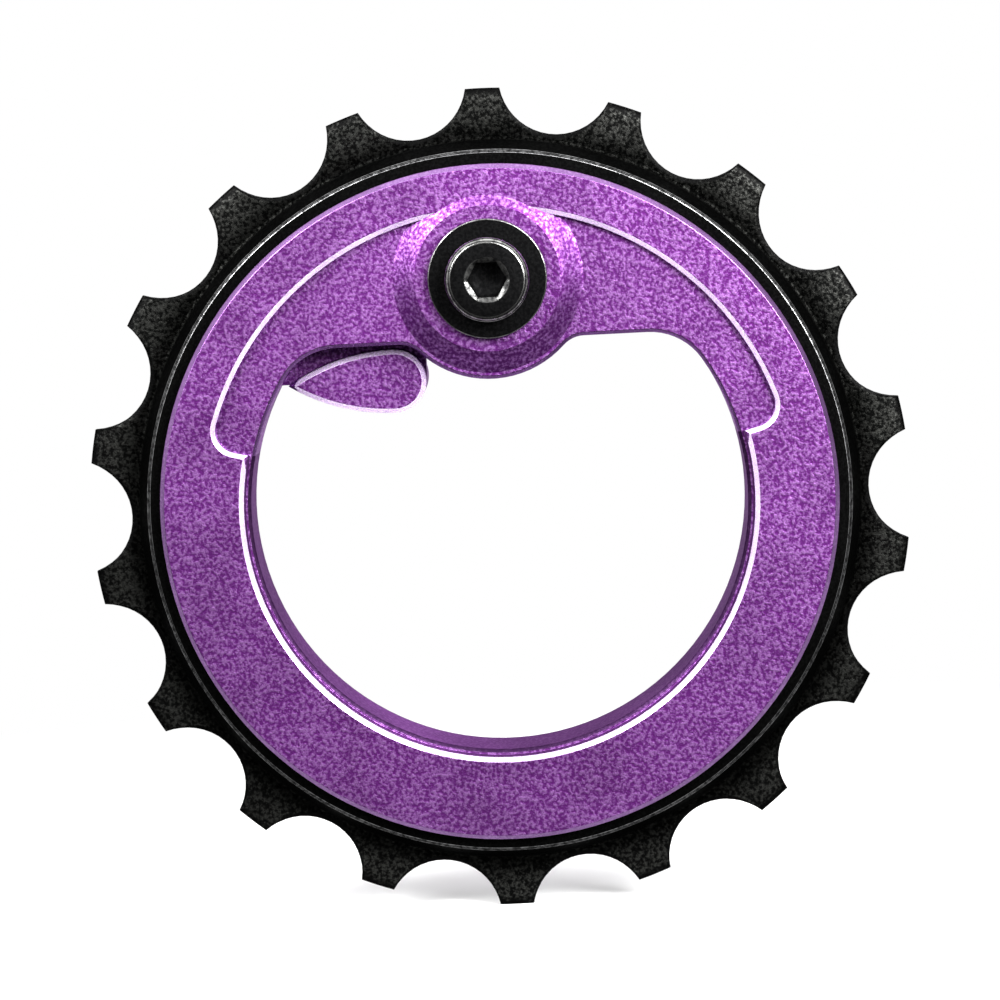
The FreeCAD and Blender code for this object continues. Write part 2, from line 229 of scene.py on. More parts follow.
@dataclass(frozen=True)
class Lathe:
    """Turns outlines into bodies of revolution about an axis along Y.

    Args:
        steps: Number of faces round a full turn.
        centre: Point that the axis passes through.
        arc_steps: Faces across each rounded corner.
    """

    steps: int
    centre: Vector = field(default_factory=lambda: Vector((0.0, 0.0, 0.0)))
    arc_steps: int = 3

    def turn(self, outline: Iterable[Corner], closed: bool = True) -> bmesh.types.BMesh:
        """Spins an outline through a full turn.

        Args:
            outline: Corners of the section, in order.
            closed: True for a ring, False for a body whose outline ends on the axis.

        Returns:
            The turned mesh, with its marked edges in the edge layer.
        """
        corners = list(outline)
        mesh = bmesh.new()
        edge_share = mesh.verts.layers.float.new(EDGE_LAYER)
        verts = []
        for corner in corners:
            place = self.centre + Vector((corner.radius, corner.station, 0.0))
            vert = mesh.verts.new(place)
            vert[edge_share] = corner.edge_share
            verts.append(vert)
        mesh.faces.new(verts)
        self._round(mesh, verts, corners, edge_share)
        bmesh.ops.delete(mesh, geom=list(mesh.faces), context="FACES_ONLY")
        if not closed:
            self._open_on_axis(mesh)
        bmesh.ops.spin(mesh, geom=list(mesh.verts) + list(mesh.edges), cent=self.centre, axis=AXIS,
                       angle=math.tau, steps=self.steps, use_merge=True)
        bmesh.ops.remove_doubles(mesh, verts=mesh.verts, dist=MERGE)
        bmesh.ops.recalc_face_normals(mesh, faces=mesh.faces)
        return mesh

    def _round(self, mesh: bmesh.types.BMesh, verts: list[bmesh.types.BMVert],
               corners: list[Corner], edge_share: bmesh.types.BMLayerItem) -> None:
        """Rounds the corners of a flat section.

        Args:
            mesh: Mesh that holds the section.
            verts: Its corners, in order.
            corners: What each corner asks for.
            edge_share: Layer that takes the edge share of the new points.
        """
        for vert, corner in zip(verts, corners):
            if corner.rounding > 0.0:
                made = bmesh.ops.bevel(mesh, geom=[vert], offset=corner.rounding, offset_type="OFFSET",
                                       segments=self.arc_steps, profile=0.5, affect="VERTICES", material=-1)
                arc = set(made["verts"])
                for new in arc:
                    inner = all(edge.other_vert(new) in arc for edge in new.link_edges)
                    new[edge_share] = corner.edge_share if inner else EdgeWearAndPaintedLight.NONE

    def _open_on_axis(self, mesh: bmesh.types.BMesh) -> None:
        """Removes the stretch of an outline that runs along the axis.

        Args:
            mesh: Mesh that holds the outline's edges.
        """
        on_axis = [edge for edge in mesh.edges
                   if all(abs(vert.co.x - self.centre.x) < MERGE for vert in edge.verts)]
        bmesh.ops.delete(mesh, geom=on_axis, context="EDGES")


def merged_copy(node: str) -> bmesh.types.BMesh:
    """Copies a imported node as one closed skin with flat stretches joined.

    Args:
        node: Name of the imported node.

    Returns:
        The copy, with an empty edge layer.
    """
    flat = math.radians(0.05)
    seam = 2 * MERGE
    mesh = bmesh.new()
    mesh.from_mesh(frame["nodes"][node].data)
    bmesh.ops.remove_doubles(mesh, verts=mesh.verts, dist=seam)
    bmesh.ops.dissolve_limit(mesh, angle_limit=flat, verts=mesh.verts, edges=mesh.edges)
    mesh.verts.layers.float.new(EDGE_LAYER)
    return mesh


def soften(mesh: bmesh.types.BMesh, width: float, angle: float, edge_mark: float) -> None:
    """Rounds the sharp edges of a closed skin and marks those that stand out in the edge layer.

    Args:
        mesh: Mesh to change.
        width: Distance from the edge at which the rounding starts.
        angle: Smallest turn between two faces, in radians, that counts as sharp.
        edge_mark: Share of the edge colour put on the middle of each rounding that stands out.
    """
    sharp = [edge for edge in mesh.edges if edge.calc_face_angle(0.0) > angle]
    made = bmesh.ops.bevel(mesh, geom=sharp, offset=width, offset_type="OFFSET", segments=2,
                           profile=0.5, affect="EDGES", material=-1)
    mesh.normal_update()
    edge_share = mesh.verts.layers.float[EDGE_LAYER]
    strips = set(made["faces"])
    middle = {vert for vert in made["verts"] if all(face in strips for face in vert.link_faces)}
    for vert in middle:
        if any(edge.is_convex and edge.other_vert(vert) in middle for edge in vert.link_edges):
            vert[edge_share] = edge_mark


def place_piece(mesh: bmesh.types.BMesh, name: str, finishes: list[bpy.types.Material], body: Body,
                nodes: Iterable[str]) -> None:
    """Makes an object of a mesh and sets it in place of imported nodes.

    Args:
        mesh: Finished mesh, which is freed.
        name: Name of the piece.
        finishes: Materials, in the order of the mesh's material numbers.
        body: Body that the piece moves with.
        nodes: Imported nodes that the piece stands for.
    """
    data = bpy.data.meshes.new(name)
    mesh.to_mesh(data)
    mesh.free()
    for finish in finishes:
        data.materials.append(finish)
    data.shade_smooth()
    data.set_sharp_from_angle(angle=CREASE)
    piece = bpy.data.objects.new(name, data)
    bpy.context.scene.collection.objects.link(piece)
    even = piece.modifiers.new("even_normals", "WEIGHTED_NORMAL")
    even.keep_sharp = True
    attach(piece, body.value)
    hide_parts(*nodes)
    LOG.info("%s: %d faces, rides on %s", name, len(data.polygons), body.value)


class NodeTree:
    """Short way to place and join shader nodes in a tree."""

    def __init__(self, tree: bpy.types.NodeTree) -> None:
        """Keeps the tree that the nodes go into."""
        self.tree = tree

    def add(self, kind: str, settings: dict[str, object] | None = None,
            **inputs: object) -> bpy.types.Node:
        """Adds a node.

        Args:
            kind: Blender's type name of the node.
            settings: Attributes to set on the node.
            inputs: Values or output sockets for its inputs, by name with _ for a space.

        Returns:
            The new node.
        """
        node = self.tree.nodes.new(kind)
        for key, value in (settings or {}).items():
            setattr(node, key, value)
        for key, value in inputs.items():
            self.put(node.inputs[key.replace("_", " ")], value)
        return node

    def put(self, socket: bpy.types.NodeSocket, value: object) -> None:
        """Sets a socket to a value, or links an output socket to it.

        Args:
            socket: Input socket to fill.
            value: Plain value or output socket.
        """
        if isinstance(value, bpy.types.NodeSocket):
            self.tree.links.new(value, socket)
        else:
            socket.default_value = value

    def math(self, operation: str, first: object, second: object = 0.0) -> bpy.types.NodeSocket:
        """Adds a Math node.

        Args:
            operation: Blender's name of the operation.
            first: First value or socket.
            second: Second value or socket.

        Returns:
            The result's socket.
        """
        node = self.add("ShaderNodeMath", {"operation": operation})
        self.put(node.inputs[0], first)
        self.put(node.inputs[1], second)
        return node.outputs[0]

    def span(self, value: object, low: float, high: float, to_low: float = 0.0,
             to_high: float = 1.0) -> bpy.types.NodeSocket:
        """Maps a stretch of values onto another, smoothly and clamped.

        Args:
            value: Socket to map.
            low: Value that gives to_low.
            high: Value that gives to_high.
            to_low: Lower result.
            to_high: Upper result.

        Returns:
            The result's socket.
        """
        node = self.add("ShaderNodeMapRange", {"interpolation_type": "SMOOTHSTEP"}, Value=value)
        numbers = {"From Min": low, "From Max": high, "To Min": to_low, "To Max": to_high}
        for key, number in numbers.items():
            node.inputs[key].default_value = number
        return node.outputs["Result"]

    def mix(self, kind: MixKind, factor: object, first: object, second: object) -> bpy.types.NodeSocket:
        """Mixes two colours or two numbers.

        Args:
            kind: What is mixed.
            factor: Share of the second one.
            first: First value or socket.
            second: Second value or socket.

        Returns:
            The mixed value's socket.
        """
        data_type, first_place, second_place, result_place = kind.value
        node = self.add("ShaderNodeMix", {"data_type": data_type})
        self.put(node.inputs[0], factor)
        self.put(node.inputs[first_place], first)
        self.put(node.inputs[second_place], second)
        return node.outputs[result_place]


class Effects:
    """Shader groups that several finishes share, each built once."""

    FINE_SCALE = 2.4
    BROAD_SCALE = 0.05
    COARSE_SHARE = 0.7
    FINE_SHARE = 0.3
    SPECK_SPAN = (0.40, 0.72)
    CLOUD_SPAN = (0.3, 0.7)
    PATCH_SPAN = (0.3, 0.7)
    PATCH_SHARE = (0.45, 1.15)
    MASK_SPAN = (0.15, 0.95)
    ACROSS_AXIS = (1.0, 0.0, 1.0)

    def __init__(self) -> None:
        """Builds the groups."""
        self.grain = self._grain()
        self.edge_mark = self._edge_mark()
        self.turning = self._turning()

    @staticmethod
    def _group(name: str, inputs: dict[str, str], outputs: list[str]
               ) -> tuple[NodeTree, bpy.types.Node, bpy.types.Node]:
        """Starts a group.

        Args:
            name: Name of the group.
            inputs: Socket type of each input, by name.
            outputs: Names of the outputs, all plain numbers.

        Returns:
            The group's tree, its input node and its output node.
        """
        tree = bpy.data.node_groups.new(name, "ShaderNodeTree")
        for key, kind in inputs.items():
            tree.interface.new_socket(key, in_out="INPUT", socket_type=kind)
        for key in outputs:
            tree.interface.new_socket(key, in_out="OUTPUT", socket_type="NodeSocketFloat")
        nodes = NodeTree(tree)
        return nodes, nodes.add("NodeGroupInput"), nodes.add("NodeGroupOutput")

    def _grain(self) -> bpy.types.NodeTree:
        """Blasted surface: a pebbled height, light specks and broad clouds.

        Returns:
            The group.
        """
        nodes, source, result = self._group(
            "blasted_grain", {"Vector": "NodeSocketVector", "Cells": "NodeSocketFloat"},
            ["Height", "Speck", "Cloud"])
        where, cells = source.outputs["Vector"], source.outputs["Cells"]
        coarse = nodes.add("ShaderNodeTexNoise", Vector=where, Scale=cells, Detail=1.0, Roughness=0.45)
        fine_cells = nodes.math("MULTIPLY", cells, self.FINE_SCALE)
        fine = nodes.add("ShaderNodeTexNoise", Vector=where, Scale=fine_cells, Detail=1.0, Roughness=0.5)
        broad_cells = nodes.math("MULTIPLY", cells, self.BROAD_SCALE)
        broad = nodes.add("ShaderNodeTexNoise", Vector=where, Scale=broad_cells, Detail=3.0)
        height = nodes.math("ADD", nodes.math("MULTIPLY", coarse.outputs["Fac"], self.COARSE_SHARE),
                            nodes.math("MULTIPLY", fine.outputs["Fac"], self.FINE_SHARE))
        nodes.put(result.inputs["Height"], height)
        nodes.put(result.inputs["Speck"], nodes.span(height, *self.SPECK_SPAN))
        nodes.put(result.inputs["Cloud"], nodes.span(broad.outputs["Fac"], *self.CLOUD_SPAN))
        return nodes.tree

    def _edge_mark(self) -> bpy.types.NodeTree:
        """Edge colour mask, for scuffing and painted highlight and shade: the edge layer broken up by
        noise.

        Returns:
            The group.
        """
        nodes, source, result = self._group(
            "edge_wear_and_painted_light_mask", {"Vector": "NodeSocketVector", "Edge": "NodeSocketFloat",
                            "Cells": "NodeSocketFloat"}, ["Mask"])
        patch = nodes.add("ShaderNodeTexNoise", Vector=source.outputs["Vector"],
                          Scale=source.outputs["Cells"], Detail=4.0, Roughness=0.6)
        share = nodes.span(patch.outputs["Fac"], *self.PATCH_SPAN, *self.PATCH_SHARE)
        broken = nodes.math("MULTIPLY", source.outputs["Edge"], share)
        nodes.put(result.inputs["Mask"], nodes.span(broken, *self.MASK_SPAN))
        return nodes.tree

    def _turning(self) -> bpy.types.NodeTree:
        """Fine rings that a lathe leaves, and the distance from the Y axis of the given vector.

        Returns:
            The group.
        """
        nodes, source, result = self._group(
            "turned_rings", {"Vector": "NodeSocketVector", "Rings": "NodeSocketFloat"},
            ["Height", "Reach"])
        flat = nodes.add("ShaderNodeVectorMath", {"operation": "MULTIPLY"})
        nodes.put(flat.inputs[0], source.outputs["Vector"])
        flat.inputs[1].default_value = self.ACROSS_AXIS
        reach = nodes.add("ShaderNodeVectorMath", {"operation": "LENGTH"})
        nodes.put(reach.inputs[0], flat.outputs["Vector"])
        apart = nodes.add("ShaderNodeSeparateXYZ", Vector=source.outputs["Vector"])
        along = nodes.math("ADD", reach.outputs["Value"], apart.outputs["Y"])
        rings = nodes.add("ShaderNodeTexNoise", {"noise_dimensions": "1D"},
                          W=nodes.math("MULTIPLY", along, source.outputs["Rings"]), Scale=1.0, Detail=3.0)
        nodes.put(result.inputs["Height"], rings.outputs["Fac"])
        nodes.put(result.inputs["Reach"], reach.outputs["Value"])
        return nodes.tree


@dataclass(frozen=True)
class Finish:
    """Look of one surface: two tones of ground, a colour of its edges and how the light catches it.

    Args:
        name: Name of the material.
        dark: Colour of the hollows.
        light: Colour of the specks.
        edge_wear_and_painted_light: Colour of the marked edges, bare or burnished where scuffed; on the
        black finishes partly painted highlight and painted shade.
        metallic: Share of metal.
        rough: Roughness of the hollows and of the specks.
        edge_mark_rough: Roughness of the marked edges.
        cells: Grain cells per metre.
        depth: Depth of the grain.
        rings: Turned rings per metre; 0 leaves them out.
        ring_depth: Depth of the turned rings.
        specular: Strength of the plain reflection.
        coat: Weight of a clear sealed layer.
        glance: Colour of reflections at a glancing angle.
        painted_shade_to: Distance from the axis up to which the ground is darkened, a painted shade.
        painted_shade_ends: Distance from the axis beyond which the painted shade is gone; 0 leaves this
            out.
    """

    EDGE_MARK_CELLS: ClassVar[float] = 0.6
    CLOUD_TONE: ClassVar[tuple[float, float]] = (0.88, 1.08)
    PAINTED_SHADE_TONE: ClassVar[tuple[float, float]] = (0.2, 1.0)
    COAT_ROUGH: ClassVar[float] = 0.45

    name: str
    dark: Colour
    light: Colour
    edge_wear_and_painted_light: Colour
    metallic: float
    rough: tuple[float, float]
    edge_mark_rough: float
    cells: float
    depth: float
    rings: float = 0.0
    ring_depth: float = 0.0
    specular: float = 0.5
    coat: float = 0.0
    glance: Colour = (1.0, 1.0, 1.0, 1.0)
    painted_shade_to: float = 0.0
    painted_shade_ends: float = 0.0

    def material(self, effects: Effects, centre: Vector | None = None) -> bpy.types.Material:
        """Builds the material.

        Args:
            effects: Shared shader groups.
            centre: Point that turned rings run round; the wheel's centre if left out.

        Returns:
            The material.
        """
        made = bpy.data.materials.new(self.name)
        made.use_nodes = True
        nodes = NodeTree(made.node_tree)
        shader = made.node_tree.nodes["Principled BSDF"]
        where = nodes.add("ShaderNodeTexCoord").outputs["Object"]
        grain = self._place(nodes, effects.grain, Vector=where, Cells=self.cells)
        edge = nodes.add("ShaderNodeAttribute", {"attribute_name": EDGE_LAYER}).outputs["Fac"]
        edge_mark = self._place(nodes, effects.edge_mark, Vector=where, Edge=edge, Cells=self.cells * self.EDGE_MARK_CELLS)
        ground = nodes.mix(MixKind.COLOUR, grain.outputs["Speck"], self.dark, self.light)
        cloud_and_painted_shade = nodes.span(grain.outputs["Cloud"], 0.0, 1.0, *self.CLOUD_TONE)
        # Painted shade: the ground darkens towards the axis, between the two distances.
        if self.painted_shade_ends > 0.0:
            reach = self._place(nodes, effects.turning, Vector=where, Rings=self.rings).outputs["Reach"]
            painted_shade = nodes.span(reach, self.painted_shade_to, self.painted_shade_ends, *self.PAINTED_SHADE_TONE)
            cloud_and_painted_shade = nodes.math("MULTIPLY", cloud_and_painted_shade, painted_shade)
        shade = nodes.add("ShaderNodeVectorMath", {"operation": "SCALE"})
        nodes.put(shade.inputs[0], ground)
        nodes.put(shade.inputs["Scale"], cloud_and_painted_shade)
        mask = edge_mark.outputs["Mask"]
        colour = nodes.mix(MixKind.COLOUR, mask, shade.outputs["Vector"], self.edge_wear_and_painted_light)
        nodes.put(shader.inputs["Base Color"], colour)
        rough = nodes.span(grain.outputs["Speck"], 0.0, 1.0, *self.rough)
        nodes.put(shader.inputs["Roughness"], nodes.mix(MixKind.NUMBER, mask, rough, self.edge_mark_rough))
        normal = nodes.add("ShaderNodeBump", Height=grain.outputs["Height"], Strength=1.0,
                           Distance=self.depth).outputs["Normal"]
        if self.rings > 0.0:
            normal = self._ringed(nodes, effects, where, centre, normal)
        nodes.put(shader.inputs["Normal"], normal)
        shader.inputs["Metallic"].default_value = self.metallic
        shader.inputs["Specular IOR Level"].default_value = self.specular
        shader.inputs["Specular Tint"].default_value = self.glance
        shader.inputs["Coat Weight"].default_value = self.coat
        shader.inputs["Coat Roughness"].default_value = self.COAT_ROUGH
        return made

    def _ringed(self, nodes: NodeTree, effects: Effects, where: bpy.types.NodeSocket,
                centre: Vector | None, normal: bpy.types.NodeSocket) -> bpy.types.NodeSocket:
        """Adds turned rings over a normal.

        Args:
            nodes: Tree of the material.
            effects: Shared shader groups.
            where: Object coordinates.
            centre: Point that the rings run round.
            normal: Normal to carry on from.

        Returns:
            The new normal's socket.
        """
        centred = nodes.add("ShaderNodeMapping", Vector=where)
        centred.inputs["Location"].default_value = -(centre or Vector((0.0, 0.0, 0.0)))
        rings = self._place(nodes, effects.turning, Vector=centred.outputs["Vector"], Rings=self.rings)
        bump = nodes.add("ShaderNodeBump", Height=rings.outputs["Height"], Strength=1.0,
                         Distance=self.ring_depth, Normal=normal)
        return bump.outputs["Normal"]

    @staticmethod
    def _place(nodes: NodeTree, group: bpy.types.NodeTree, **inputs: object) -> bpy.types.Node:
        """Places a shared group with its own values."""
        return nodes.add("ShaderNodeGroup", {"node_tree": group}, **inputs)


PURPLE_BLASTED = Finish(
    "purple_blasted", dark=(0.125, 0.014, 0.178, 1.0), light=(0.56, 0.24, 0.71, 1.0),
    edge_wear_and_painted_light=(0.60, 0.42, 0.70, 1.0), metallic=1.0, rough=(0.52, 0.42), edge_mark_rough=0.25,
    cells=3400.0, depth=0.05 * MM, coat=0.25, glance=(0.62, 0.52, 0.68, 1.0))
PURPLE_CUT = Finish(
    "purple_cut", dark=(0.62, 0.47, 0.72, 1.0), light=(0.80, 0.68, 0.87, 1.0),
    edge_wear_and_painted_light=(0.86, 0.78, 0.91, 1.0), metallic=0.5, rough=(0.28, 0.2), edge_mark_rough=0.2,
    cells=5200.0, depth=0.004 * MM, rings=30000.0, ring_depth=0.003 * MM)
PURPLE_SOFT = Finish(
    "purple_soft_cut", dark=(0.25, 0.12, 0.33, 1.0), light=(0.37, 0.21, 0.46, 1.0),
    edge_wear_and_painted_light=(0.60, 0.45, 0.68, 1.0), metallic=1.0, rough=(0.32, 0.24), edge_mark_rough=0.2,
    cells=5200.0, depth=0.006 * MM, rings=30000.0, ring_depth=0.003 * MM)
PURPLE_TURNED = Finish(
    "purple_turned", dark=(0.13, 0.040, 0.17, 1.0), light=(0.23, 0.09, 0.29, 1.0),
    edge_wear_and_painted_light=(0.30, 0.16, 0.37, 1.0), metallic=1.0, rough=(0.52, 0.44), edge_mark_rough=0.4,
    cells=3400.0, depth=0.012 * MM, rings=12000.0, ring_depth=0.004 * MM, glance=(0.48, 0.44, 0.52, 1.0))
# Darker copy of the turned finish, for the bore's front bevel: painted shade.
PURPLE_PAINTED_SHADE = replace(
    PURPLE_TURNED, name="purple_painted_shade", dark=(0.035, 0.013, 0.048, 1.0),
    light=(0.075, 0.030, 0.095, 1.0), edge_wear_and_painted_light=(0.11, 0.055, 0.135, 1.0))
# Light grey edge colour on the ring's body edges: partly scuffing, partly painted highlight.
BLACK_TURNED = Finish(
    "black_turned", dark=(0.003, 0.003, 0.003, 1.0), light=(0.009, 0.0093, 0.009, 1.0),
    edge_wear_and_painted_light=(0.34, 0.34, 0.345, 1.0), metallic=1.0, rough=(0.50, 0.42), edge_mark_rough=0.3,
    cells=4200.0, depth=0.006 * MM, rings=9000.0, ring_depth=0.006 * MM, glance=(0.5, 0.5, 0.5, 1.0))
# Painted shade: the teeth's ground darkens towards their roots, and their edges take a colour as dark as
# the hollows, a painted shade along the teeth's outline.
BLACK_BLASTED = Finish(
    "black_blasted", dark=(0.004, 0.0041, 0.004, 1.0), light=(0.057, 0.058, 0.054, 1.0),
    edge_wear_and_painted_light=(0.004, 0.004, 0.004, 1.0), metallic=1.0, rough=(0.55, 0.42), edge_mark_rough=0.5,
    cells=3700.0, depth=0.045 * MM, glance=(0.45, 0.45, 0.45, 1.0), painted_shade_to=32.2 * MM,
    painted_shade_ends=34.5 * MM)
BEARING_STEEL = Finish(
    "bearing_steel", dark=(0.50, 0.50, 0.50, 1.0), light=(0.62, 0.62, 0.61, 1.0),
    edge_wear_and_painted_light=(0.78, 0.78, 0.77, 1.0), metallic=1.0, rough=(0.26, 0.2), edge_mark_rough=0.15,
    cells=3000.0, depth=0.002 * MM, rings=26000.0, ring_depth=0.004 * MM)
SEAL_RUBBER = Finish(
    "seal_rubber", dark=(0.010, 0.010, 0.011, 1.0), light=(0.024, 0.024, 0.026, 1.0),
    edge_wear_and_painted_light=(0.05, 0.05, 0.05, 1.0), metallic=0.0, rough=(0.62, 0.5), edge_mark_rough=0.4,
    cells=4200.0, depth=0.01 * MM, specular=0.35)
CAGE_NYLON = Finish(
    "cage_nylon", dark=(0.42, 0.30, 0.16, 1.0), light=(0.56, 0.42, 0.25, 1.0),
    edge_wear_and_painted_light=(0.6, 0.47, 0.3, 1.0), metallic=0.0, rough=(0.5, 0.42), edge_mark_rough=0.4,
    cells=3600.0, depth=0.006 * MM)
SPRING_STEEL = Finish(
    "spring_steel", dark=(0.07, 0.07, 0.075, 1.0), light=(0.16, 0.16, 0.165, 1.0),
    edge_wear_and_painted_light=(0.5, 0.5, 0.5, 1.0), metallic=0.9, rough=(0.5, 0.38), edge_mark_rough=0.25,
    cells=3800.0, depth=0.008 * MM)
# Its light grey edge colour is partly scuffing and partly painted highlight on the bolt's rims and thread
# crests.
BLACK_OXIDE = Finish(
    "black_oxide", dark=(0.008, 0.008, 0.0085, 1.0), light=(0.032, 0.032, 0.033, 1.0),
    edge_wear_and_painted_light=(0.42, 0.42, 0.41, 1.0), metallic=1.0, rough=(0.42, 0.3), edge_mark_rough=0.22,
    cells=3400.0, depth=0.008 * MM, rings=16000.0, ring_depth=0.004 * MM, glance=(0.6, 0.6, 0.6, 1.0))


@dataclass
class ToothedRing:
    """Black ring with the teeth, turned and then cut between the teeth."""

    sizes: WheelSizes
    tooth_thickness: float = 2.0 * MM
    tip_thickness: float = 1.2 * MM
    tip_bevel: float = 1.1 * MM
    gullet_radius: float = 5.1 * MM
    gullet_edge: float = 0.3 * MM
    first_tooth: float = math.radians(9.5)
    body_wall: float = 1.0 * MM
    body_edge: float = 0.25 * MM
    plate_land: float = 0.7 * MM
    lip_thickness: float = 0.4 * MM
    lip_drop: float = 0.7 * MM
    gap_steps: int = 18
    tip_steps: int = 4
    soft_corner: float = 0.06 * MM
    rim_round: tuple[tuple[float, float], ...] = ((2.0, 0.0), (1.0, 0.0), (0.3, 0.3), (0.0, 1.0))
    mark_step: float = 1.0 * MM

    @property
    def pitch_angle(self) -> float:
        """Angle from one tooth to the next."""
        return math.tau / self.sizes.tooth_count

    @property
    def gullet_centre(self) -> float:
        """Radius of the circle that the round tooth gaps are centred on."""
        return self.sizes.root_radius + self.gullet_radius

    def gap_sweep(self) -> float:
        """Angle that half a tooth gap covers, seen from the gap's own centre."""
        centre, gap, tip = self.gullet_centre, self.gullet_radius, self.sizes.tip_radius
        return math.acos((centre ** 2 + gap ** 2 - tip ** 2) / (2 * centre * gap))

    def rim(self, step: int) -> tuple[float, float]:
        """Follows the toothed outline from the middle of one tooth gap to the next.

        Args:
            step: Number of the step, from 0 at the start of a gap's round.

        Returns:
            The angle from that gap's middle and the outline's radius.
        """
        sweep = self.gap_sweep()
        gap_end = self._on_gap(sweep)[0]
        if step <= self.gap_steps:
            return self._on_gap(sweep * (2 * step / self.gap_steps - 1))
        share = (step - self.gap_steps) / self.tip_steps
        return gap_end + share * (self.pitch_angle - 2 * gap_end), self.sizes.tip_radius

    def _on_gap(self, turn: float) -> tuple[float, float]:
        """Finds a point on the round of a tooth gap.

        Args:
            turn: Angle from the gap's bottom, seen from the gap's own centre.

        Returns:
            The angle from the gap's middle and the radius, seen from the wheel's centre.
        """
        across = self.gullet_radius * math.sin(turn)
        out = self.gullet_centre - self.gullet_radius * math.cos(turn)
        return math.atan2(across, out), math.hypot(across, out)

    def half_thickness(self, radius: float) -> float:
        """Half of the tooth plate's thickness, thinner over the tips' bevel.

        Args:
            radius: Distance from the wheel's axis.

        Returns:
            The half thickness there.
        """
        foot = self.sizes.tip_radius - self.tip_bevel
        share = max(0.0, (radius - foot) / self.tip_bevel)
        return (self.tooth_thickness - share * (self.tooth_thickness - self.tip_thickness)) / 2

    def outline(self) -> list[Corner]:
        """Section of the ring, with the rim left as marks that the teeth are cut to.

        Returns:
            The section's corners, in order from the lip to the seat.
        """
        sizes = self.sizes
        seat = sizes.race_out + sizes.fit_gap
        body = seat + self.body_wall
        lip = sizes.race_out - self.lip_drop
        face = sizes.bearing_face + self.lip_thickness
        foot = sizes.root_radius - self.plate_land
        half = self.tooth_thickness / 2
        edge, soft = self.body_edge, self.soft_corner
        # The body's edges take the light grey edge colour: partly scuffing, partly painted highlight.
        front = [
            Corner(body - edge, -face, soft, EdgeWearAndPaintedLight.STRONG),
            Corner(body - edge / 2, edge / 2 - face, 0.0, EdgeWearAndPaintedLight.PLAIN),
            Corner(body, edge - face, soft, EdgeWearAndPaintedLight.STRONG), Corner(foot, -half, 4 * soft),
        ]
        rear = mirrored(front)[len(front):]
        marks = [Corner(sizes.tip_radius + mark * self.mark_step, 0.0)
                 for mark in range(len(self.rim_marks()))]
        lip_side = [Corner(lip, -sizes.bearing_face), Corner(lip, -face, soft, EdgeWearAndPaintedLight.PLAIN)]
        seat_side = [Corner(seat + edge, face, soft, EdgeWearAndPaintedLight.PLAIN),
                     Corner(seat, face - edge, soft), Corner(seat, -sizes.bearing_face)]
        return lip_side + front + marks + rear + seat_side

    def rim_marks(self) -> list[tuple[float, float, Side]]:
        """Points across the rim, from the front face over the edge to the rear face.

        Returns:
            For each point, how far it lies inside the outline and below the face, in edge widths,
            and the side that it is on.
        """
        front = [(*place, Side.FRONT) for place in self.rim_round]
        return front + [(*place, Side.REAR) for place in reversed(self.rim_round)]

    def build(self) -> bmesh.types.BMesh:
        """Turns the ring and cuts its teeth.

        Returns:
            The ring's mesh.
        """
        steps = self.gap_steps + self.tip_steps
        mesh = Lathe(steps * self.sizes.tooth_count).turn(self.outline())
        edge_share = mesh.verts.layers.float[EDGE_LAYER]
        marks = self.rim_marks()
        limit = self.sizes.tip_radius - self.tip_bevel
        for vert in mesh.verts:
            reach = math.hypot(vert.co.x, vert.co.z)
            share = math.atan2(vert.co.z, vert.co.x) % math.tau / math.tau
            tooth, step = divmod(round(share * steps * self.sizes.tooth_count), steps)
            angle, rim = self.rim(step)
            turn = self.first_tooth + (tooth + 0.5) * self.pitch_angle + angle
            station = vert.co.y
            if reach > self.sizes.tip_radius - MERGE:
                mark = round((reach - self.sizes.tip_radius) / self.mark_step)
                inside, below, side = marks[mark]
                reach = rim - inside * self.gullet_edge
                on_edge = inside <= 1.0
                if not on_edge:
                    reach = min(reach, limit)
                station = side.value * (self.half_thickness(reach) - below * self.gullet_edge)
                # The teeth's edges take the dark edge colour: painted shade along their outline.
                vert[edge_share] = EdgeWearAndPaintedLight.FULL if on_edge else EdgeWearAndPaintedLight.NONE
            vert.co = Vector((reach * math.cos(turn), station, reach * math.sin(turn)))
        turned = self.sizes.root_radius - self.plate_land + self.soft_corner
        for face in mesh.faces:
            reaches = [math.hypot(vert.co.x, vert.co.z) for vert in face.verts]
            face.material_index = int(max(reaches) < turned)
        bmesh.ops.recalc_face_normals(mesh, faces=mesh.faces)
        return mesh

    def dress(self, finishes: dict[str, bpy.types.Material]) -> None:
        """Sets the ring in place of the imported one, blasted on its teeth and turned on its body."""
        looks = [finishes[BLACK_BLASTED.name], finishes[BLACK_TURNED.name]]
        place_piece(self.build(), "tooth_ring_cut", looks, Body.RING, ["toothed_ring"])


CARRIER_LOOKS = (PURPLE_BLASTED, PURPLE_CUT, PURPLE_SOFT, PURPLE_TURNED, PURPLE_PAINTED_SHADE)


class CarrierFace(Enum):
    """Kinds of surface on the carrier, by their place among its finishes."""

    BLASTED = 0
    BRIGHT_CUT = 1
    SOFT_CUT = 2
    TURNED = 3
    PAINTED_SHADE = 4


